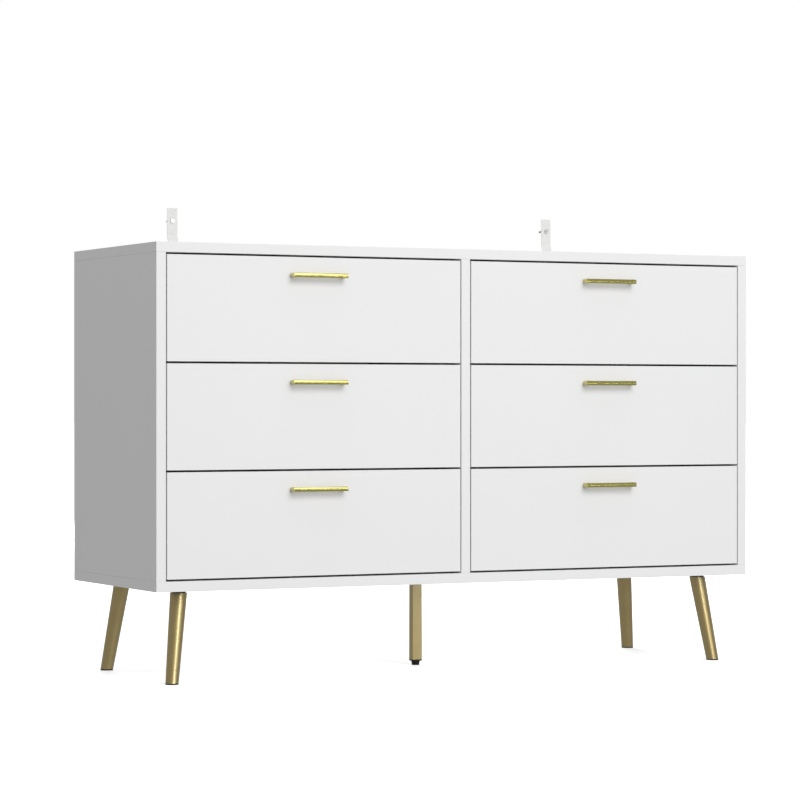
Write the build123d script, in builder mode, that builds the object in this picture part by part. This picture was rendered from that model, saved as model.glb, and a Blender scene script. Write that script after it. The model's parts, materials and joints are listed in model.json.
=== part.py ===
from build123d import *
import os

os.makedirs("parts", exist_ok=True)

# A dresser with six drawers in two columns, on four splayed legs and a centre leg.
# Millimetres. X runs to the right, Y from the front to the back, Z up. The origin is on the
# floor under the middle of the case, at the centre of the levelling foot's underside.

# Case
case_width = 1200
case_depth = 400
case_height = 602
case_bottom = 163
board = 18
hardboard = 3
back_groove_depth = 5
back_inset = 12
case_edge_radius = 0.8

# Drawer fronts, inset flush between the case's boards
row_names = ("bottom", "middle", "top")
front_side_gap = 2
front_edge_radius = 0.5
front_gap = 3.4

# Drawer boxes
box_board = 12
box_edge_radius = 0.5
box_depth = 350
box_height = 130
box_lift = 20
box_floor_lift = 10
box_groove_depth = 6
box_screw_heights = (20, 110)
box_cam_heights = (30, 100)

# Handles
handle_drop = 32
handle_hole_spacing = 96
handle_length = 105
handle_post_radius = 4.5
handle_projection = 17.5
handle_bar_height = 8
handle_bar_depth = 6
handle_crown = 0.6
handle_edge_radius = 0.8
handle_thread_depth = 8

# Drawer runners: a wide channel on the case holds a narrow one on the drawer
runner_space = 12.5
runner_length = 346
runner_setback = 2
runner_lift = 50
runner_wall = 1.2
case_runner_height = 35
case_runner_width = 10
case_runner_lip = 4.9
drawer_runner_height = 24
drawer_runner_width = 9
runner_screw_inset = 40

# Cam locks: a round cam in one board's face grips the head of a bolt in the next board
cam_radius = 7.4
cam_pocket_radius = 7.5
case_cam_depth = 12.5
box_cam_depth = 9.5
cam_slot_length = 9
cam_slot_width = 1.6
cam_slot_depth = 1.5
cam_setback = 34
case_cam_inset = 60
bolt_radius = 2.9
bolt_grip = 11
bolt_head_radius = 3.4
bolt_head_length = 3
bolt_way_radius = 3.5

# Splayed legs: a round tapering tube, cut level at both ends
leg_inset_x = 68
leg_inset_y = 65
leg_splay = 21.2
leg_top_radius = 15
leg_foot_radius = 11.5
leg_wall = 1.5
leg_cap = 4
stud_radius = 4
stud_length = 5
pad_height = 2.4
pad_plug_height = 12

# Steel plates that hold the splayed legs
plate_size = 60
plate_thickness = 2.5
plate_corner_radius = 8
plate_screw_spacing = 42
boss_radius = 12.5
boss_height = 3.1

# Centre leg and its levelling foot
tube_width = 20
tube_depth = 15
tube_wall = 1.5
tube_corner_radius = 1.5
centre_plate_size = 50
centre_plate_screw_spacing = 36
foot_base_radius = 6.75
foot_top_radius = 8
foot_height = 7.6
foot_gap = 0.3
foot_thread_radius = 4
foot_thread_length = 24
foot_thread_clearance = 0.08
plug_flange = 2.5
plug_height = 14

# Straps that tie the case to a wall
strap_x = 400
strap_width = 21
strap_thickness = 1.6
strap_rise = 86
strap_screw_rise = 62.5
strap_bow = 14.5
strap_bow_rise = 35
strap_bend_radius = 12
strap_end_drop = 17
strap_corner_radius = 0.8

# Screws: shank radius, shank length, head radius, head height
runner_screw_in_case = (1.5, 9.5, 3, 1.4)
runner_screw_in_box = (1.5, 9, 3, 1.4)
box_screw = (1.8, 30, 3.8, 2)
plate_screw = (2, 14, 3.8, 2)
handle_screw = (2, 24, 4, 2.2)
strap_screw = (1.8, 20, 4, 2.2)
wall_screw = (2, 26, 4, 2.2)
wall_screw_neck = (2.3, 2, 4, 2.2)
hole_play = 0.05

# Worked out from the values above
case_top = case_bottom + case_height
inside_floor = case_bottom + board
inside_ceiling = case_top - board
half_width = case_width / 2
half_depth = case_depth / 2
bay_inner = board / 2
bay_outer = half_width - board
bay_centre = (bay_inner + bay_outer) / 2
front_width = bay_outer - bay_inner - 2 * front_side_gap
row_count = len(row_names)
front_height = (inside_ceiling - inside_floor - (row_count + 1) * front_gap) / row_count
front_back = board - half_depth
box_back = front_back + box_depth
box_half_width = (bay_outer - bay_inner) / 2 - runner_space
box_inner_half = box_half_width - box_board
back_panel_front = half_depth - back_inset - hardboard
leg_top = case_bottom - plate_thickness - boss_height
tube_bottom = foot_height + foot_gap + plug_flange
cam_rows = (case_cam_inset - half_depth, half_depth - case_cam_inset)
runner_start = front_back + runner_setback
runner_screw_rows = (runner_start + runner_screw_inset, runner_start + runner_length - runner_screw_inset)
row_bottoms = [inside_floor + front_gap + row * (front_height + front_gap) for row in range(row_count)]
runner_heights = [bottom + box_lift + runner_lift for bottom in row_bottoms]


# Shapes that repeat


def block(low, high, mode=Mode.ADD):
    """A square-edged block between two corners, the first with the lower height."""
    middle = ((low[0] + high[0]) / 2, (low[1] + high[1]) / 2, low[2])
    with BuildSketch(Plane(origin=middle)) as outline:
        Rectangle(abs(high[0] - low[0]), abs(high[1] - low[1]))
    extrude(outline.sketch, amount=high[2] - low[2], mode=mode)


def rods(places, radius, length, mode=Mode.ADD):
    """A round rod or hole along each place's z axis, or against it where length is negative."""
    with BuildSketch(*places) as outline:
        Circle(radius)
    extrude(outline.sketch, amount=length, mode=mode)


def cones(places, near_radius, far_radius, depth, mode=Mode.ADD):
    """A cone that goes in below each place, such as a countersunk head."""
    for place in places:
        with BuildSketch(place) as near:
            Circle(near_radius)
        with BuildSketch(place.offset(-depth)) as far:
            Circle(far_radius)
        loft([near.sketch, far.sketch], mode=mode)


def pan_screws(places, screw):
    """A screw at each place, with its head a hair above the place."""
    shank_radius, shank_length, head_radius, head_height = screw
    seats = [place.offset(hole_play) for place in places]
    rods(seats, shank_radius, -shank_length)
    rods(seats, head_radius, head_height)


def flat_screws(places, screw):
    """A countersunk screw at each place, with its head flush with the place."""
    shank_radius, shank_length, head_radius, head_height = screw
    rods(places, shank_radius, -shank_length)
    cones(places, head_radius, shank_radius, head_height)


def screw_holes(places, screw):
    """The holes that screws run in."""
    rods(places, screw[0] + hole_play, -screw[1], Mode.SUBTRACT)


def countersinks(places, screw):
    """Screw holes with room for countersunk heads."""
    shank_radius, shank_length, head_radius, head_height = screw
    screw_holes(places, screw)
    cones(places, head_radius + hole_play, shank_radius + hole_play, head_height, Mode.SUBTRACT)


def square_of_places(centre_x, centre_y, spacing):
    """Four places on the underside of a leg plate, facing down."""
    half = spacing / 2
    height = case_bottom - plate_thickness
    corners = [(centre_x + x, centre_y + y, height) for x in (-half, half) for y in (-half, half)]
    return [Plane(origin=corner, z_dir=(0, 0, -1)) for corner in corners]


def finish(builder, node):
    """Labels a finished piece and writes it."""
    builder.part.label = node
    export_step(builder.part, "parts/" + node + ".step")


# Cam locks. A cam's place lies on its board's face and faces out of it. Its bolt's place lies
# where the two boards meet and faces into the board that the bolt is screwed into.


def cams(cam_places, bolt_places, depth, middle):
    """Cams with a driver slot, each bored out for the head of its bolt."""
    rods(cam_places, cam_radius, -depth)
    with BuildSketch(*cam_places) as slots:
        Rectangle(cam_slot_length, cam_slot_width)
    extrude(slots.sketch, amount=-cam_slot_depth, mode=Mode.SUBTRACT)
    bores = [place.offset(-cam_setback - bolt_head_length) for place in bolt_places]
    rods(bores, bolt_way_radius, 2 * cam_radius, Mode.SUBTRACT)


def bolts(places):
    """Cam bolts: a shank, and a head that lies in the middle of the cam."""
    rods(places, bolt_radius, bolt_grip)
    rods(places, bolt_radius, -cam_setback)
    heads = [place.offset(-cam_setback - bolt_head_length / 2) for place in places]
    rods(heads, bolt_head_radius, bolt_head_length)


def cam_pockets(cam_places, bolt_places, depth):
    """The pockets of cams and the ways through a board's end that their bolts take."""
    rods(cam_places, cam_pocket_radius, -depth, Mode.SUBTRACT)
    rods(bolt_places, bolt_way_radius, -cam_setback, Mode.SUBTRACT)


def bolt_sockets(places):
    """The blind holes that cam bolts are screwed into."""
    rods(places, bolt_radius + hole_play, bolt_grip, Mode.SUBTRACT)


# Places on the case's upright boards. Each face is where it stands on X and the way it faces.

left_panel_face = (-bay_outer, 1)
right_panel_face = (bay_outer, -1)
divider_left_face = (-bay_inner, -1)
divider_right_face = (bay_inner, 1)
runner_faces = (left_panel_face, divider_left_face, divider_right_face, right_panel_face)
cam_faces = (left_panel_face, divider_right_face, right_panel_face)
ceiling_joint = (inside_ceiling, 1)
floor_joint = (inside_floor, -1)


def case_cam_places(face, joint):
    """Two cams on an upright board, near the end that meets the top or bottom panel."""
    height = joint[0] - joint[1] * cam_setback
    return [Plane(origin=(face[0], y, height), z_dir=(face[1], 0, 0)) for y in cam_rows]


def case_bolt_places(face, joint):
    """The bolts of those cams, in the middle of the upright board's thickness."""
    middle = face[0] - face[1] * board / 2
    return [Plane(origin=(middle, y, joint[0]), z_dir=(0, 0, joint[1])) for y in cam_rows]


def case_runner_screw_places(face):
    """Screws in the webs of the runners on an upright board's face."""
    web = face[0] + face[1] * runner_wall
    spots = [(web, y, z) for y in runner_screw_rows for z in runner_heights]
    return [Plane(origin=spot, z_dir=(face[1], 0, 0)) for spot in spots]


leg_spots = {
    "front_left": (-1, -1),
    "front_right": (1, -1),
    "back_left": (-1, 1),
    "back_right": (1, 1),
}
leg_x = half_width - leg_inset_x
leg_y = half_depth - leg_inset_y
leg_centres = [(x * leg_x, y * leg_y) for x, y in leg_spots.values()]
leg_screw_places = [
    place for x, y in leg_centres for place in square_of_places(x, y, plate_screw_spacing)
]
centre_screw_places = square_of_places(0, 0, centre_plate_screw_spacing)
strap_screw_places = [
    Plane(origin=(x, half_depth + strap_thickness, case_top - board / 2), z_dir=(0, 1, 0))
    for x in (-strap_x, strap_x)
]
wall_screw_places = [
    Plane(origin=(x, half_depth + strap_bow, case_top + strap_screw_rise), z_dir=(0, -1, 0))
    for x in (-strap_x, strap_x)
]


# Case boards


def back_groove(start_x, end_x, low, high):
    """A groove for a back panel, as wide as the hardboard is thick."""
    block((start_x, back_panel_front, low), (end_x, back_panel_front + hardboard, high), Mode.SUBTRACT)


def upright_details(face):
    """The back groove and runner screw holes in one face of an upright board."""
    back_groove(face[0], face[0] - face[1] * back_groove_depth, inside_floor, inside_ceiling)
    screw_holes(case_runner_screw_places(face), runner_screw_in_case)


def upright_joints(face):
    """The cam pockets in one face of an upright board."""
    for joint in (ceiling_joint, floor_joint):
        cam_pockets(case_cam_places(face, joint), case_bolt_places(face, joint), case_cam_depth)


with BuildPart() as top_panel:
    block((-half_width, -half_depth, inside_ceiling), (half_width, half_depth, case_top))
    fillet(top_panel.edges(), case_edge_radius)
    for side in (-1, 1):
        groove_ends = (side * (bay_inner - back_groove_depth), side * (bay_outer + back_groove_depth))
        back_groove(*groove_ends, inside_ceiling, inside_ceiling + back_groove_depth)
    for face in cam_faces:
        bolt_sockets(case_bolt_places(face, ceiling_joint))
    screw_holes(strap_screw_places, strap_screw)
finish(top_panel, "top_panel")

with BuildPart() as bottom_panel:
    block((-half_width, -half_depth, case_bottom), (half_width, half_depth, inside_floor))
    fillet(bottom_panel.edges(), case_edge_radius)
    for side in (-1, 1):
        groove_ends = (side * (bay_inner - back_groove_depth), side * (bay_outer + back_groove_depth))
        back_groove(*groove_ends, inside_floor - back_groove_depth, inside_floor)
    for face in cam_faces:
        bolt_sockets(case_bolt_places(face, floor_joint))
    screw_holes(leg_screw_places + centre_screw_places, plate_screw)
finish(bottom_panel, "bottom_panel")

for side, face, name in ((-1, left_panel_face, "left"), (1, right_panel_face, "right")):
    with BuildPart() as side_panel:
        inner_corner = (side * bay_outer, -half_depth, inside_floor)
        outer_corner = (side * half_width, half_depth, inside_ceiling)
        block(inner_corner, outer_corner)
        fillet(side_panel.edges(), case_edge_radius)
        upright_details(face)
        upright_joints(face)
    finish(side_panel, name + "_side_panel")

with BuildPart() as centre_divider:
    block((-bay_inner, -half_depth, inside_floor), (bay_inner, half_depth, inside_ceiling))
    fillet(centre_divider.edges(), case_edge_radius)
    upright_details(divider_left_face)
    upright_details(divider_right_face)
    upright_joints(divider_right_face)
finish(centre_divider, "centre_divider")

for side, node in ((-1, "left_back_panel"), (1, "right_back_panel")):
    with BuildPart() as back_panel:
        block(
            (side * (bay_inner - back_groove_depth), back_panel_front, inside_floor - back_groove_depth),
            (
                side * (bay_outer + back_groove_depth),
                back_panel_front + hardboard,
                inside_ceiling + back_groove_depth,
            ),
        )
    finish(back_panel, node)

with BuildPart() as case_fittings:
    for face in cam_faces:
        for joint in (ceiling_joint, floor_joint):
            bolt_places = case_bolt_places(face, joint)
            cams(case_cam_places(face, joint), bolt_places, case_cam_depth, board / 2)
            bolts(bolt_places)
    for face in runner_faces:
        pan_screws(case_runner_screw_places(face), runner_screw_in_case)
    flat_screws(leg_screw_places + centre_screw_places, plate_screw)
    pan_screws(strap_screw_places, strap_screw)
    pan_screws(wall_screw_places, wall_screw)
    pan_screws(wall_screw_places, wall_screw_neck)
finish(case_fittings, "case_fittings")


# Drawer runners


def channel(face_x, out, height, tall, width, lip=0):
    """A straight channel along Y, with its web on a board's face and its flanges reaching out."""
    near, web, far = face_x, face_x + out * runner_wall, face_x + out * width
    start, end = runner_start, runner_start + runner_length
    top, bottom = height + tall / 2, height - tall / 2
    block((near, start, bottom), (web, end, top))
    block((near, start, top - runner_wall), (far, end, top))
    block((near, start, bottom), (far, end, bottom + runner_wall))
    if lip:
        lip_start = far - out * runner_wall
        block((lip_start, start, top - lip), (far, end, top))
        block((lip_start, start, bottom), (far, end, bottom + lip))


with BuildPart() as case_runners:
    for face in runner_faces:
        for height in runner_heights:
            channel(face[0], face[1], height, case_runner_height, case_runner_width, case_runner_lip)
        screw_holes(case_runner_screw_places(face), runner_screw_in_case)
finish(case_runners, "case_runners")


# Legs


def leg_section(x_way, y_way, height, inset=0):
    """A level circle of a splayed leg at one height, smaller by the inset."""
    drop = (leg_top - height) / leg_top
    centre_x = x_way * (half_width - leg_inset_x + drop * leg_splay)
    centre_y = y_way * (half_depth - leg_inset_y + drop * leg_splay)
    radius = leg_top_radius + drop * (leg_foot_radius - leg_top_radius)
    with BuildSketch(Plane(origin=(centre_x, centre_y, height))) as section:
        Circle(radius - inset)
    return section.sketch


for spot, (x_way, y_way) in leg_spots.items():
    with BuildPart() as leg:
        loft([leg_section(x_way, y_way, pad_height), leg_section(x_way, y_way, leg_top)])
        loft(
            [
                leg_section(x_way, y_way, pad_height, leg_wall),
                leg_section(x_way, y_way, leg_top - leg_cap, leg_wall),
            ],
            mode=Mode.SUBTRACT,
        )
        top_centre = (x_way * (half_width - leg_inset_x), y_way * (half_depth - leg_inset_y), leg_top)
        rods([Plane(origin=top_centre)], stud_radius, stud_length)
    finish(leg, spot + "_leg")

with BuildPart() as leg_plates:
    for x, y in leg_centres:
        with BuildSketch(Plane(origin=(x, y, case_bottom))) as outline:
            RectangleRounded(plate_size, plate_size, plate_corner_radius)
        extrude(outline.sketch, amount=-plate_thickness)
    plate_undersides = [Plane(origin=(x, y, case_bottom - plate_thickness)) for x, y in leg_centres]
    rods(plate_undersides, boss_radius, -boss_height)
    boss_ends = [Plane(origin=(x, y, leg_top)) for x, y in leg_centres]
    rods(boss_ends, stud_radius + hole_play, boss_height + plate_thickness, Mode.SUBTRACT)
    countersinks(leg_screw_places, plate_screw)
finish(leg_plates, "leg_plates")

with BuildPart() as leg_end_caps:
    for x_way, y_way in leg_spots.values():
        loft([leg_section(x_way, y_way, 0), leg_section(x_way, y_way, pad_height)])
        plug_inset = leg_wall + hole_play
        loft(
            [
                leg_section(x_way, y_way, pad_height, plug_inset),
                leg_section(x_way, y_way, pad_height + pad_plug_height, plug_inset),
            ]
        )
    with BuildSketch(Plane.XY.offset(tube_bottom)) as flange:
        RectangleRounded(tube_width, tube_depth, tube_corner_radius)
    extrude(flange.sketch, amount=-plug_flange)
    with BuildSketch(Plane.XY.offset(tube_bottom)) as plug:
        Rectangle(tube_width - 2 * tube_wall, tube_depth - 2 * tube_wall)
    extrude(plug.sketch, amount=plug_height)
    rods([Plane.XY], foot_thread_radius + foot_thread_clearance, tube_bottom + plug_height, Mode.SUBTRACT)
finish(leg_end_caps, "leg_end_caps")

with BuildPart() as centre_leg:
    with BuildSketch(Plane.XY.offset(tube_bottom)) as tube:
        RectangleRounded(tube_width, tube_depth, tube_corner_radius)
        Rectangle(tube_width - 2 * tube_wall, tube_depth - 2 * tube_wall, mode=Mode.SUBTRACT)
    extrude(tube.sketch, amount=case_bottom - plate_thickness - tube_bottom)
    with BuildSketch(Plane.XY.offset(case_bottom)) as plate:
        RectangleRounded(centre_plate_size, centre_plate_size, tube_corner_radius)
    extrude(plate.sketch, amount=-plate_thickness)
    countersinks(centre_screw_places, plate_screw)
finish(centre_leg, "centre_leg")

with BuildPart() as levelling_foot:
    cones([Plane.XY.offset(foot_height)], foot_top_radius, foot_base_radius, foot_height)
    rods([Plane.XY.offset(foot_height)], foot_thread_radius, foot_thread_length)
finish(levelling_foot, "levelling_foot")


# Wall straps

with BuildPart() as wall_straps:
    for centre_x in (-strap_x, strap_x):
        with BuildSketch(Plane.YZ.offset(centre_x - strap_width / 2)) as side_view:
            with BuildLine():
                FilletPolyline(
                    (half_depth, case_top - strap_end_drop),
                    (half_depth, case_top),
                    (half_depth + strap_bow, case_top + strap_bow_rise),
                    (half_depth + strap_bow, case_top + strap_rise),
                    radius=strap_bend_radius,
                )
                offset(amount=strap_thickness, side=Side.RIGHT)
            make_face()
        extrude(side_view.sketch, amount=strap_width)
    fillet(wall_straps.edges().filter_by(Axis.Y), strap_corner_radius)
    screw_holes(strap_screw_places, strap_screw)
    screw_holes(wall_screw_places, wall_screw_neck)
finish(wall_straps, "wall_straps")


# Drawers


def drawer_front(node, centre_x, bottom, handle_places, bolt_places):
    """The front board, with a groove for the floor and holes for the handle and bolts."""
    with BuildPart() as front:
        block(
            (centre_x - front_width / 2, -half_depth, bottom),
            (centre_x + front_width / 2, front_back, bottom + front_height),
        )
        fillet(front.edges(), front_edge_radius)
        floor_bottom = bottom + box_lift + box_floor_lift
        groove_half = box_inner_half + box_groove_depth
        block(
            (centre_x - groove_half, front_back - box_groove_depth, floor_bottom),
            (centre_x + groove_half, front_back, floor_bottom + hardboard),
            Mode.SUBTRACT,
        )
        screw_holes(handle_places, handle_screw)
        bolt_sockets(bolt_places)
    finish(front, node)


def drawer_side(node, centre_x, way, bottom, cam_places, bolt_places, runner_places, back_places):
    """A side board of a drawer box. The way is -1 for the left board and 1 for the right."""
    inner = centre_x + way * box_inner_half
    outer = centre_x + way * box_half_width
    with BuildPart() as side_board:
        block((inner, front_back, bottom + box_lift), (outer, box_back, bottom + box_lift + box_height))
        fillet(side_board.edges(), box_edge_radius)
        floor_bottom = bottom + box_lift + box_floor_lift
        block(
            (inner, front_back, floor_bottom),
            (inner + way * box_groove_depth, box_back, floor_bottom + hardboard),
            Mode.SUBTRACT,
        )
        cam_pockets(cam_places, bolt_places, box_cam_depth)
        screw_holes(runner_places, runner_screw_in_box)
        countersinks(back_places, box_screw)
    finish(side_board, node)


def drawer_back(node, centre_x, bottom, back_places):
    """The back board of a drawer box, held between the side boards."""
    with BuildPart() as back_board:
        front_face = box_back - box_board
        block(
            (centre_x - box_inner_half, front_face, bottom + box_lift),
            (centre_x + box_inner_half, box_back, bottom + box_lift + box_height),
        )
        fillet(back_board.edges(), box_edge_radius)
        floor_bottom = bottom + box_lift + box_floor_lift
        block(
            (centre_x - box_inner_half, front_face, floor_bottom),
            (centre_x + box_inner_half, front_face + box_groove_depth, floor_bottom + hardboard),
            Mode.SUBTRACT,
        )
        screw_holes(back_places, box_screw)
    finish(back_board, node)


def drawer_floor(node, centre_x, bottom):
    """The hardboard floor, held in the grooves of the front, sides and back."""
    floor_half = box_inner_half + box_groove_depth
    floor_bottom = bottom + box_lift + box_floor_lift
    with BuildPart() as floor:
        block(
            (centre_x - floor_half, front_back - box_groove_depth, floor_bottom),
            (centre_x + floor_half, box_back - box_board + box_groove_depth, floor_bottom + hardboard),
        )
    finish(floor, node)


def drawer_handle(node, centre_x, bottom, handle_places):
    """A bar with a slightly crowned front on two round posts, threaded from behind."""
    height = bottom + front_height - handle_drop
    low = height - handle_bar_height / 2
    high = height + handle_bar_height / 2
    bar_front = -half_depth - handle_projection
    bar_back = bar_front + handle_bar_depth
    bar_shoulder = bar_front + handle_crown
    with BuildPart() as handle:
        with BuildSketch(Plane.YZ.offset(centre_x - handle_length / 2)) as section:
            with BuildLine():
                ThreePointArc((bar_shoulder, low), (bar_front, height), (bar_shoulder, high))
                Polyline((bar_shoulder, high), (bar_back, high), (bar_back, low), (bar_shoulder, low))
            make_face()
        extrude(section.sketch, amount=handle_length)
        front_edges = handle.edges().filter_by(Axis.X).group_by(Axis.Y)[0]
        fillet(front_edges, handle_edge_radius)
        faces = [
            Plane(origin=(place.origin.X, -half_depth, height), z_dir=(0, -1, 0))
            for place in handle_places
        ]
        rods(faces, handle_post_radius, handle_projection - handle_bar_depth)
        rods(faces, handle_screw[0] + hole_play, handle_thread_depth, Mode.SUBTRACT)
    finish(handle, node)


def drawer_fittings(node, centre_x, bottom, handle_places, joints, runner_places, back_places):
    """A drawer's runners, cam locks and screws."""
    with BuildPart() as fittings:
        for way in (-1, 1):
            face_x = centre_x + way * box_half_width
            height = bottom + box_lift + runner_lift
            channel(face_x, way, height, drawer_runner_height, drawer_runner_width)
            screw_holes(runner_places[way], runner_screw_in_box)
            pan_screws(runner_places[way], runner_screw_in_box)
            cam_places, bolt_places = joints[way]
            cams(cam_places, bolt_places, box_cam_depth, box_board / 2)
            bolts(bolt_places)
            flat_screws(back_places[way], box_screw)
        pan_screws(handle_places, handle_screw)
    finish(fittings, node)


def drawer(name, centre_x, bottom):
    """All the pieces of one drawer."""
    box_bottom = bottom + box_lift
    handle_height = bottom + front_height - handle_drop
    half_spacing = handle_hole_spacing / 2
    handle_places = [
        Plane(origin=(centre_x + way * half_spacing, front_back, handle_height), z_dir=(0, 1, 0))
        for way in (-1, 1)
    ]
    joints, runner_places, back_places = {}, {}, {}
    for way in (-1, 1):
        inner = centre_x + way * box_inner_half
        middle = centre_x + way * (box_inner_half + box_board / 2)
        outer = centre_x + way * box_half_width
        cam_places = [
            Plane(origin=(inner, front_back + cam_setback, box_bottom + rise), z_dir=(-way, 0, 0))
            for rise in box_cam_heights
        ]
        bolt_places = [
            Plane(origin=(middle, front_back, box_bottom + rise), z_dir=(0, -1, 0))
            for rise in box_cam_heights
        ]
        joints[way] = (cam_places, bolt_places)
        runner_places[way] = [
            Plane(origin=(outer + way * runner_wall, y, box_bottom + runner_lift), z_dir=(way, 0, 0))
            for y in runner_screw_rows
        ]
        back_places[way] = [
            Plane(origin=(outer, box_back - box_board / 2, box_bottom + rise), z_dir=(way, 0, 0))
            for rise in box_screw_heights
        ]
    drawer_front(name + "_front", centre_x, bottom, handle_places, joints[-1][1] + joints[1][1])
    for way, side_name in ((-1, "_left_board"), (1, "_right_board")):
        drawer_side(
            name + side_name, centre_x, way, bottom, *joints[way], runner_places[way], back_places[way]
        )
    drawer_back(name + "_back_board", centre_x, bottom, back_places[-1] + back_places[1])
    drawer_floor(name + "_floor", centre_x, bottom)
    drawer_handle(name + "_handle", centre_x, bottom, handle_places)
    drawer_fittings(
        name + "_fittings", centre_x, bottom, handle_places, joints, runner_places, back_places
    )


for column, side in (("left", -1), ("right", 1)):
    for row_name, row_bottom in zip(row_names, row_bottoms):
        drawer(column + "_" + row_name + "_drawer", side * bay_centre, row_bottom)
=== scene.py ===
"""The looks of a white dresser with gold legs and handles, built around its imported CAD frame."""
import cmath
import json
import math

import bmesh
import bpy
from mathutils import Matrix, Vector


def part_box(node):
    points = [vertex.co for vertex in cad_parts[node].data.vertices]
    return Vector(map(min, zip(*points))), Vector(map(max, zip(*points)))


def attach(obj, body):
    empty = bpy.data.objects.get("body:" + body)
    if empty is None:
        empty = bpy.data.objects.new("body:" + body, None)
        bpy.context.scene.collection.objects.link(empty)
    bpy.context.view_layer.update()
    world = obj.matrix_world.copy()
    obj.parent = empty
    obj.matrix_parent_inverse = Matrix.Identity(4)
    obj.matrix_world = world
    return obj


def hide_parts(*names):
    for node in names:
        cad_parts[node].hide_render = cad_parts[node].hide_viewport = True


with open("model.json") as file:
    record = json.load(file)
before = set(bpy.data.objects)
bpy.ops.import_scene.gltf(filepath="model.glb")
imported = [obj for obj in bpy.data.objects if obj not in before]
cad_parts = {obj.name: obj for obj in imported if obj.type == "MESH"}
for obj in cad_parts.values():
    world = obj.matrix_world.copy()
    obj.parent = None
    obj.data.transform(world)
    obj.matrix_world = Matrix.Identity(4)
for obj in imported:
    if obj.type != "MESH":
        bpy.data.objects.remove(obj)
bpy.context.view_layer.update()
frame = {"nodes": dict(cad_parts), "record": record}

MM = 0.001

# Camera: the dresser is seen from its front left, from a little above the middle of its case.
CAMERA_PLACE = (-2.5322, -4.9706, 0.493)
CAMERA_TURN = math.radians(-26.70)
CAMERA_LENS = 134.8
CAMERA_SENSOR = 36.0

# Wall straps: ribbed webbing, which leaves the case's back edge and bows out to the wall.
STRAP_WIDTH = 21 * MM
STRAP_THICKNESS = 1.6 * MM
STRAP_VALLEY = 1.0 * MM
STRAP_RIBS = 6
STRAP_RIB_ROUNDNESS = 0.5
STRAP_PICK = 2.2 * MM
STRAP_PICK_DEPTH = 0.18
STRAP_EDGE_THINNING = 0.5
STRAP_EDGE_SHARPNESS = 30
STRAP_STEP = 0.55 * MM
STRAP_BEND_RADIUS = 12 * MM
STRAP_BOW_RISE = 35 * MM
STRAP_HOLE_RADIUS = 2.35 * MM
STRAP_LOW_HOLE_RADIUS = 1.85 * MM
STRAP_SHARP_ANGLE = math.radians(50)
YARN_ALONG = 1.6 * MM
YARN_ACROSS = 1.1 * MM
ROUNDING = 1e-9

# Surroundings.
FLOOR_RADIUS = 60.0
FLOOR_COLOUR = (0.92, 0.92, 0.92)
FLOOR_ROUGHNESS = 0.9
BACKDROP_WHITE = (1.0, 1.0, 1.0)
FLOOR_GLOW_NEAR = 0.45
FLOOR_GLOW_FAR = 1.0
FLOOR_GLOW_START = 1.0
FLOOR_GLOW_END = 3.5
AMBIENT_GREY = (0.40, 0.40, 0.403)

# The grey that shows where a black coat or a black moulding is rubbed.
RUBBED_BLACK = (0.030, 0.030, 0.030)


# ---------------------------------------------------------------- node helpers

def new_material(name):
    """An empty material: its node tree and its main shader."""
    material = bpy.data.materials.new(name)
    material.use_nodes = True
    tree = material.node_tree
    return material, tree, tree.nodes["Principled BSDF"]


def add(tree, kind, **settings):
    """A node of that kind, with its own settings."""
    made = tree.nodes.new("ShaderNode" + kind)
    for name, value in settings.items():
        setattr(made, name, value)
    return made


def place_of(tree, stretch=(1, 1, 1)):
    """The point on the piece in metres, stretched along each axis."""
    source = add(tree, "TexCoord")
    scale = add(tree, "VectorMath", operation="MULTIPLY")
    tree.links.new(source.outputs["Object"], scale.inputs[0])
    scale.inputs[1].default_value = stretch
    return scale.outputs[0]


def noise(tree, place, size, detail=3.0, roughness=0.5):
    """Soft random grain whose lumps are about that size in metres."""
    made = add(tree, "TexNoise")
    tree.links.new(place, made.inputs["Vector"])
    made.inputs["Scale"].default_value = 1 / size
    made.inputs["Detail"].default_value = detail
    made.inputs["Roughness"].default_value = roughness
    return made.outputs[0]


def span(tree, value, low, high, start=0.0, end=1.0):
    """The value, taken from start..end to low..high."""
    made = add(tree, "MapRange")
    tree.links.new(value, made.inputs["Value"])
    made.inputs["From Min"].default_value = start
    made.inputs["From Max"].default_value = end
    made.inputs["To Min"].default_value = low
    made.inputs["To Max"].default_value = high
    return made.outputs[0]


def maths(tree, operation, first, second=0.0):
    """One sum on two values, either of which may be a number."""
    made = add(tree, "Math", operation=operation)
    for socket, value in zip(made.inputs, (first, second)):
        if isinstance(value, (int, float)):
            socket.default_value = value
        else:
            tree.links.new(value, socket)
    return made.outputs[0]


def mixed(tree, share, first, second):
    """A colour between two, each a colour or another node's output."""
    made = add(tree, "Mix", data_type="RGBA")
    tree.links.new(share, made.inputs[0])
    for socket, value in ((made.inputs[6], first), (made.inputs[7], second)):
        if isinstance(value, tuple):
            socket.default_value = (*value, 1.0)
        else:
            tree.links.new(value, socket)
    return made.outputs[2]


def bump(tree, height, depth, under=None):
    """Surface relief of that depth in metres, over another relief if there is one."""
    made = add(tree, "Bump")
    made.inputs["Strength"].default_value = 1.0
    made.inputs["Distance"].default_value = depth
    tree.links.new(height, made.inputs["Height"])
    if under is not None:
        tree.links.new(under, made.inputs["Normal"])
    return made.outputs[0]


def edge_wear(tree, radius):
    """0 on flat surfaces and up to 1 along edges, within that radius in metres."""
    rounded = add(tree, "Bevel", samples=4)
    rounded.inputs["Radius"].default_value = radius
    flat = add(tree, "NewGeometry")
    facing = add(tree, "VectorMath", operation="DOT_PRODUCT")
    tree.links.new(rounded.outputs[0], facing.inputs[0])
    tree.links.new(flat.outputs["Normal"], facing.inputs[1])
    return span(tree, facing.outputs["Value"], 1.0, 0.0, start=0.80, end=0.995)


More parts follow.
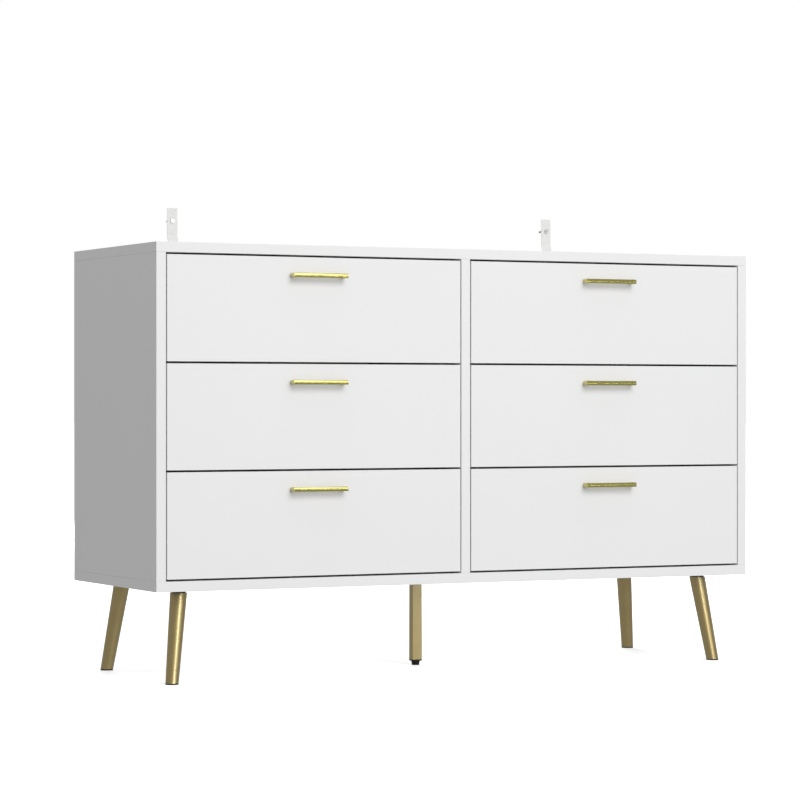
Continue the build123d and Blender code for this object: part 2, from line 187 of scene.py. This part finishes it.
def worn_edges(tree, skin, bare, radius, share):
    """A skin's colour, which shows up to that share of the bare colour along edges."""
    wear = edge_wear(tree, radius)
    return mixed(tree, maths(tree, "MULTIPLY", wear, share), skin, bare)


def grained(tree, cloud, low, high, grain, share):
    """Roughness from low to high with a cloud, and a little higher with a fine grain."""
    return maths(tree, "ADD", span(tree, cloud, low, high), maths(tree, "MULTIPLY", grain, share))


def finish_surface(tree, shader, colour, roughness, relief):
    """Joins a surface's colour, roughness and relief to its shader."""
    tree.links.new(colour, shader.inputs["Base Color"])
    tree.links.new(roughness, shader.inputs["Roughness"])
    tree.links.new(relief, shader.inputs["Normal"])


# ------------------------------------------------------------------- materials

def white_board():
    """White melamine foil on particle board: satin, with a fine pearl grain and banded edges."""
    material, tree, shader = new_material("white_melamine")
    shader.inputs["Specular IOR Level"].default_value = 0.25
    here = place_of(tree)
    broad = noise(tree, here, size=220 * MM, detail=2)
    pearl = noise(tree, here, size=1.1 * MM, detail=4)
    foil = mixed(tree, broad, (0.838, 0.837, 0.835), (0.862, 0.861, 0.860))
    fleck = span(tree, pearl, 0.0, 0.06, start=0.45, end=0.75)
    flecked = mixed(tree, fleck, foil, (0.74, 0.74, 0.74))
    banded = worn_edges(tree, flecked, (0.66, 0.66, 0.66), radius=1.2 * MM, share=0.35)
    smudges = noise(tree, here, size=60 * MM, detail=5)
    roughness = grained(tree, smudges, 0.48, 0.57, grain=pearl, share=0.06)
    relief = bump(tree, pearl, depth=0.02 * MM)
    finish_surface(tree, shader, banded, roughness, relief)
    return material


def hardboard():
    """Hardboard: white paper on the inner face, bare brown fibre on the outer face."""
    material, tree, shader = new_material("white_faced_hardboard")
    here = place_of(tree)
    fibres = noise(tree, place_of(tree, (1.0, 1.0, 2.6)), size=1.6 * MM, detail=6, roughness=0.65)
    cloud = noise(tree, here, size=70 * MM, detail=3)
    bare = mixed(tree, fibres, (0.26, 0.165, 0.090), (0.46, 0.325, 0.200))
    toned = mixed(tree, span(tree, cloud, 0.0, 0.35), bare, (0.33, 0.225, 0.130))
    paper = mixed(tree, cloud, (0.80, 0.795, 0.78), (0.84, 0.835, 0.825))
    facing = add(tree, "NewGeometry")
    parts = add(tree, "SeparateXYZ")
    tree.links.new(facing.outputs["Normal"], parts.inputs[0])
    down = maths(tree, "MULTIPLY", parts.outputs["Z"], -1.0)
    outward = maths(tree, "MAXIMUM", parts.outputs["Y"], down)
    is_bare = maths(tree, "GREATER_THAN", outward, 0.5)
    colour = mixed(tree, is_bare, paper, toned)
    roughness = grained(tree, is_bare, 0.48, 0.72, grain=fibres, share=0.10)
    relief = bump(tree, fibres, depth=0.06 * MM)
    finish_surface(tree, shader, colour, roughness, relief)
    return material


def gold_leg():
    """Satin gold lacquer on steel tube."""
    material, tree, shader = new_material("satin_gold_lacquer")
    shader.inputs["Metallic"].default_value = 1.0
    shader.inputs["Coat Weight"].default_value = 0.7
    shader.inputs["Coat IOR"].default_value = 1.9
    shader.inputs["Coat Roughness"].default_value = 0.25
    here = place_of(tree)
    clouds = noise(tree, here, size=24 * MM, detail=4)
    flake = noise(tree, here, size=0.35 * MM, detail=2)
    lacquer = mixed(tree, clouds, (0.41, 0.310, 0.105), (0.47, 0.365, 0.135))
    glint = span(tree, flake, 0.0, 0.35, start=0.55, end=0.80)
    glinting = mixed(tree, glint, lacquer, (0.82, 0.73, 0.44))
    worn = worn_edges(tree, glinting, (0.70, 0.61, 0.36), radius=1.0 * MM, share=0.5)
    roughness = grained(tree, clouds, 0.36, 0.42, grain=flake, share=0.05)
    relief = bump(tree, flake, depth=0.010 * MM)
    finish_surface(tree, shader, worn, roughness, relief)
    return material


def gold_handle():
    """Polished gold plating with fine lines along the bar, and paler edges that are partly wear and partly a
    painted highlight.
    """
    material, tree, shader = new_material("polished_gold_plating")
    shader.inputs["Metallic"].default_value = 1.0
    shader.inputs["Coat Weight"].default_value = 1.0
    shader.inputs["Coat IOR"].default_value = 2.2
    shader.inputs["Coat Roughness"].default_value = 0.10
    here = place_of(tree)
    lines = noise(tree, place_of(tree, (0.02, 1.0, 1.0)), size=0.25 * MM, detail=3)
    clouds = noise(tree, here, size=18 * MM, detail=3)
    plating = mixed(tree, clouds, (0.43, 0.380, 0.036), (0.49, 0.435, 0.052))
    # The paler edge colour is partly wear on the plating and partly a painted highlight.
    worn = worn_edges(tree, plating, (0.68, 0.63, 0.30), radius=0.6 * MM, share=0.45)
    roughness = grained(tree, clouds, 0.14, 0.18, grain=lines, share=0.05)
    relief = bump(tree, lines, depth=0.002 * MM)
    finish_surface(tree, shader, worn, roughness, relief)
    return material


def black_steel():
    """Black powder coat: a fine orange-peel skin."""
    material, tree, shader = new_material("black_powder_coat")
    shader.inputs["Specular IOR Level"].default_value = 0.25
    here = place_of(tree)
    peel = noise(tree, here, size=0.7 * MM, detail=3)
    skin = mixed(tree, peel, (0.005, 0.005, 0.005), (0.012, 0.012, 0.012))
    worn = worn_edges(tree, skin, RUBBED_BLACK, radius=0.8 * MM, share=0.6)
    roughness = span(tree, peel, 0.42, 0.60)
    relief = bump(tree, peel, depth=0.05 * MM)
    finish_surface(tree, shader, worn, roughness, relief)
    return material


def black_plastic():
    """Moulded black plastic with a fine matt grain."""
    material, tree, shader = new_material("moulded_black_plastic")
    shader.inputs["Specular IOR Level"].default_value = 0.25
    here = place_of(tree)
    grain = noise(tree, here, size=0.45 * MM, detail=2)
    scuffs = noise(tree, place_of(tree, (1.0, 1.0, 0.25)), size=5 * MM, detail=5)
    moulded = mixed(tree, scuffs, (0.005, 0.005, 0.005), (0.013, 0.013, 0.013))
    worn = worn_edges(tree, moulded, RUBBED_BLACK, radius=0.6 * MM, share=0.6)
    roughness = span(tree, scuffs, 0.40, 0.58)
    relief = bump(tree, grain, depth=0.03 * MM)
    finish_surface(tree, shader, worn, roughness, relief)
    return material


def zinc_steel():
    """Bright zinc plating, with rolling lines and a faint blue and straw cast."""
    material, tree, shader = new_material("bright_zinc_plating")
    shader.inputs["Metallic"].default_value = 1.0
    here = place_of(tree)
    cast = noise(tree, here, size=15 * MM, detail=3)
    lines = noise(tree, place_of(tree, (1.0, 0.03, 1.0)), size=0.3 * MM, detail=3)
    plating = mixed(tree, cast, (0.56, 0.585, 0.63), (0.66, 0.655, 0.62))
    worn = worn_edges(tree, plating, (0.80, 0.80, 0.80), radius=0.6 * MM, share=0.5)
    roughness = grained(tree, cast, 0.26, 0.36, grain=lines, share=0.08)
    relief = bump(tree, lines, depth=0.008 * MM)
    finish_surface(tree, shader, worn, roughness, relief)
    return material


def white_strap():
    """Woven nylon webbing: ribs across the strap, crossed by fine yarns, with painted shade in the weave's
    hollows.
    """
    material, tree, shader = new_material("white_nylon_webbing")
    shader.inputs["Sheen Weight"].default_value = 0.3
    shader.inputs["Sheen Roughness"].default_value = 0.4
    here = place_of(tree)
    parts = add(tree, "SeparateXYZ")
    tree.links.new(here, parts.inputs[0])
    along = maths(tree, "SINE", maths(tree, "MULTIPLY", parts.outputs["Z"], 2 * math.pi / YARN_ALONG))
    across = maths(tree, "SINE", maths(tree, "MULTIPLY", parts.outputs["X"], 2 * math.pi / YARN_ACROSS))
    weave = maths(tree, "MULTIPLY", along, across)
    fuzz = noise(tree, here, size=0.4 * MM, detail=3)
    # Painted shade: the yarn is lighter where the weave stands up and darker in its hollows.
    painted_weave_shade = span(tree, weave, 0.0, 1.0, start=-1.0, end=1.0)
    yarn = mixed(tree, painted_weave_shade, (0.66, 0.66, 0.645), (0.77, 0.77, 0.755))
    soiled = mixed(tree, span(tree, fuzz, 0.0, 0.2), yarn, (0.60, 0.60, 0.58))
    roughness = span(tree, weave, 0.62, 0.50, start=-1.0, end=1.0)
    relief = bump(tree, fuzz, depth=0.03 * MM, under=bump(tree, weave, depth=0.08 * MM))
    finish_surface(tree, shader, soiled, roughness, relief)
    return material


def dress_frame():
    """Gives each CAD piece the finish that its record's material slot asks for."""
    finishes = {
        "white_board": white_board(),
        "hardboard": hardboard(),
        "gold_leg": gold_leg(),
        "gold_handle": gold_handle(),
        "black_steel": black_steel(),
        "black_plastic": black_plastic(),
        "zinc_steel": zinc_steel(),
        "white_strap": white_strap(),
    }
    for piece in frame["nodes"].values():
        for slot in piece.material_slots:
            slot.material = finishes[slot.material.name]
    return finishes


# ------------------------------------------------------------------ wall straps

def rounded_line(corners, radius, arc_steps=12):
    """Points of a line whose inner corners are arcs of that radius. Points are complex numbers."""
    points = [corners[0]]
    for before, corner, after in zip(corners, corners[1:], corners[2:]):
        heading = (corner - before) / abs(corner - before)
        turn = cmath.phase((after - corner) / heading)
        start = corner - heading * radius * math.tan(abs(turn) / 2)
        centre = start + heading * 1j * math.copysign(radius, turn)
        for k in range(arc_steps + 1):
            points.append(centre + (start - centre) * cmath.rect(1, turn * k / arc_steps))
    return points + [corners[-1]]


def even_steps(points, step):
    """Places spaced evenly along a line, each with the line's heading there."""
    runs = [(start, end - start) for start, end in zip(points, points[1:])]
    length = sum(abs(run) for start, run in runs)
    count = round(length / step)
    due = [k * length / count for k in range(count + 1)]
    places = []
    passed = 0.0
    for start, run in runs:
        while len(places) <= count and due[len(places)] <= passed + abs(run) + ROUNDING:
            heading = run / abs(run)
            places.append((start + heading * (due[len(places)] - passed), heading))
        passed += abs(run)
    return places


def webbing_height(across, along):
    """Half the webbing's thickness, from its ribs, its picks and its thinner woven edges."""
    phase = 2 * math.pi * STRAP_RIBS * (across + 1) / 2
    rib = 0.5 - 0.5 * math.cos(phase)
    between_picks = 0.5 + 0.5 * math.cos(2 * math.pi * along / STRAP_PICK)
    pick = 1 - STRAP_PICK_DEPTH * between_picks
    thickness = STRAP_VALLEY + (STRAP_THICKNESS - STRAP_VALLEY) * rib ** STRAP_RIB_ROUNDNESS * pick
    return 0.5 * thickness * (1 - STRAP_EDGE_THINNING * abs(across) ** STRAP_EDGE_SHARPNESS)


def webbing_mesh(name, centre_x, places, columns=48):
    """A closed strip of ribbed webbing along a line in the YZ plane."""
    shape = bmesh.new()
    rings = []
    for row, (place, heading) in enumerate(places):
        backward = heading * -1j
        middle = place + backward * STRAP_THICKNESS / 2
        loops = []
        for side in (-1, 1):
            loop = []
            for column in range(columns + 1):
                across = 2 * column / columns - 1
                point = middle + side * backward * webbing_height(across, row * STRAP_STEP)
                loop.append(shape.verts.new((centre_x + across * STRAP_WIDTH / 2, point.real, point.imag)))
            loops.append(loop)
        rings.append(loops[0] + loops[1][::-1])
    for low, high in zip(rings, rings[1:]):
        for k in range(len(low)):
            after = (k + 1) % len(low)
            shape.faces.new((low[k], low[after], high[after], high[k]))
    for ring in (rings[0], rings[-1]):
        for k in range(columns):
            shape.faces.new((ring[k], ring[k + 1], ring[-k - 2], ring[-k - 1]))
    bmesh.ops.recalc_face_normals(shape, faces=shape.faces)
    mesh = bpy.data.meshes.new(name)
    shape.to_mesh(mesh)
    shape.free()
    return mesh


def drilled(piece, centre, radius, depth=10 * MM, segments=32):
    """Cuts a round hole through a piece, along Y."""
    shape = bmesh.new()
    turn = Matrix.Translation(centre) @ Matrix.Rotation(math.radians(90), 4, "X")
    bmesh.ops.create_cone(
        shape, cap_ends=True, segments=segments, radius1=radius, radius2=radius, depth=depth, matrix=turn
    )
    mesh = bpy.data.meshes.new("drill")
    shape.to_mesh(mesh)
    shape.free()
    drill = bpy.data.objects.new("drill", mesh)
    bpy.context.scene.collection.objects.link(drill)
    cut = piece.modifiers.new("hole", "BOOLEAN")
    cut.object = drill
    cut.solver = "EXACT"
    finished = piece.evaluated_get(bpy.context.evaluated_depsgraph_get())
    piece.data = bpy.data.meshes.new_from_object(finished)
    piece.modifiers.clear()
    bpy.data.objects.remove(drill)


def wall_straps(material):
    """The two woven straps that tie the case to a wall, each with its two screw holes."""
    low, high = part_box("wall_straps")
    panel_low, panel_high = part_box("top_panel")
    wall_side = high[1] - STRAP_THICKNESS
    corners = [
        complex(low[1], low[2]),
        complex(low[1], panel_high[2]),
        complex(wall_side, panel_high[2] + STRAP_BOW_RISE),
        complex(wall_side, high[2]),
    ]
    places = even_steps(rounded_line(corners, STRAP_BEND_RADIUS), STRAP_STEP)
    for side in ("left", "right"):
        mount = next(m for m in frame["record"]["mounts"] if m["name"] == side + "_wall_screw")
        centre_x, screw_height = mount["pos_m"][0], mount["pos_m"][2]
        name = side + "_strap_webbing"
        piece = bpy.data.objects.new(name, webbing_mesh(name, centre_x, places))
        bpy.context.scene.collection.objects.link(piece)
        drilled(piece, (centre_x, wall_side, screw_height), STRAP_HOLE_RADIUS)
        drilled(piece, (centre_x, low[1], (panel_low[2] + panel_high[2]) / 2), STRAP_LOW_HOLE_RADIUS)
        piece.data.shade_smooth()
        piece.data.set_sharp_from_angle(angle=STRAP_SHARP_ANGLE)
        piece.data.materials.append(material)
        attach(piece, "cabinet")
        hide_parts("wall_straps")


# ------------------------------------------------------- camera, floor and light

def camera():
    """The camera, at the dresser's front left and level with its case."""
    lens = bpy.data.cameras.new("camera")
    lens.lens = CAMERA_LENS
    lens.sensor_width = CAMERA_SENSOR
    lens.clip_end = 4 * FLOOR_RADIUS
    made = bpy.data.objects.new("camera", lens)
    made.location = CAMERA_PLACE
    made.rotation_euler = (math.radians(90), 0, CAMERA_TURN)
    bpy.context.scene.collection.objects.link(made)
    bpy.context.scene.camera = made


def softbox(name, place, aim, width, height, watts, reflected=True, diffuse=True):
    """A soft rectangular light at a place, facing a point.

    It may leave out its reflection or its diffuse light.
    """
    lamp = bpy.data.lights.new(name, "AREA")
    lamp.shape = "RECTANGLE"
    lamp.size = width
    lamp.size_y = height
    lamp.energy = watts
    made = bpy.data.objects.new(name, lamp)
    made.location = place
    made.rotation_euler = (Vector(aim) - Vector(place)).to_track_quat("-Z", "Y").to_euler()
    made.visible_camera = False
    made.visible_glossy = reflected
    made.visible_diffuse = diffuse
    bpy.context.scene.collection.objects.link(made)


def studio_light():
    """Soft light from the front, from above and from behind, and three small boxes for the gold."""
    middle = (0, 0, 0.45)
    softbox("front_box", (0.3, -7.6, 5.6), middle, width=5.0, height=4.0, watts=341)
    softbox("leg_strip", (0.21, -4.4, 0.95), (0, 0, 0.5), width=0.6, height=1.2, watts=35)
    softbox("handle_card", (1.9, -5.2, 2.1), middle, width=0.7, height=2.6, watts=15)
    centre_card = {"width": 0.6, "height": 0.28, "watts": 8}
    softbox("centre_card", (2.48, -5.0, 0.17), (0, 0, 0.1), **centre_card, diffuse=False)
    overhead_box = {"width": 5.0, "height": 3.5, "watts": 35}
    softbox("overhead_box", (0, 0.2, 3.4), (0, 0, 0), **overhead_box, reflected=False)
    rear_box = {"width": 3.0, "height": 2.5, "watts": 260}
    softbox("rear_box", (2.0, 6.0, 2.4), middle, **rear_box, reflected=False)
    world = bpy.data.worlds.new("studio")
    world.use_nodes = True
    world.node_tree.nodes["Background"].inputs["Color"].default_value = (*AMBIENT_GREY, 1)
    world.node_tree.nodes["Background"].inputs["Strength"].default_value = 1.0
    bpy.context.scene.world = world


def disc(name, radius, height, corners=96):
    """A flat round mesh at that height."""
    rim = [
        (radius * math.cos(2 * math.pi * k / corners), radius * math.sin(2 * math.pi * k / corners), height)
        for k in range(corners)
    ]
    mesh = bpy.data.meshes.new(name)
    mesh.from_pydata(rim, [], [tuple(range(corners))])
    made = bpy.data.objects.new(name, mesh)
    bpy.context.scene.collection.objects.link(made)
    return made


def floor():
    """A plain white floor, which the camera sees and the dresser doesn't."""
    made = disc("floor", FLOOR_RADIUS, 0.0)
    material, tree, shader = new_material("floor_white")
    shader.inputs["Base Color"].default_value = (*FLOOR_COLOUR, 1)
    shader.inputs["Roughness"].default_value = FLOOR_ROUGHNESS
    shader.inputs["Emission Color"].default_value = (*BACKDROP_WHITE, 1)
    far = add(tree, "VectorMath", operation="LENGTH")
    tree.links.new(place_of(tree), far.inputs[0])
    glow = span(tree, far.outputs["Value"], FLOOR_GLOW_NEAR, FLOOR_GLOW_FAR, FLOOR_GLOW_START, FLOOR_GLOW_END)
    tree.links.new(glow, shader.inputs["Emission Strength"])
    made.data.materials.append(material)
    made.visible_diffuse = False
    made.visible_glossy = False


def backdrop():
    """A plain white dome behind the floor, which only the camera sees."""
    bpy.ops.mesh.primitive_uv_sphere_add(radius=FLOOR_RADIUS, segments=64, ring_count=32)
    made = bpy.context.object
    made.name = "backdrop"
    material = bpy.data.materials.new("backdrop_white")
    material.use_nodes = True
    tree = material.node_tree
    tree.nodes.clear()
    glow = add(tree, "Emission")
    glow.inputs["Color"].default_value = (*BACKDROP_WHITE, 1)
    out = add(tree, "OutputMaterial")
    tree.links.new(glow.outputs[0], out.inputs["Surface"])
    made.data.materials.append(material)
    made.visible_diffuse = False
    made.visible_glossy = False
    made.visible_transmission = False
    made.visible_shadow = False


camera()
floor()
backdrop()
studio_light()
bpy.context.scene.view_settings.view_transform = "Standard"
finishes = dress_frame()
wall_straps(finishes["white_strap"])
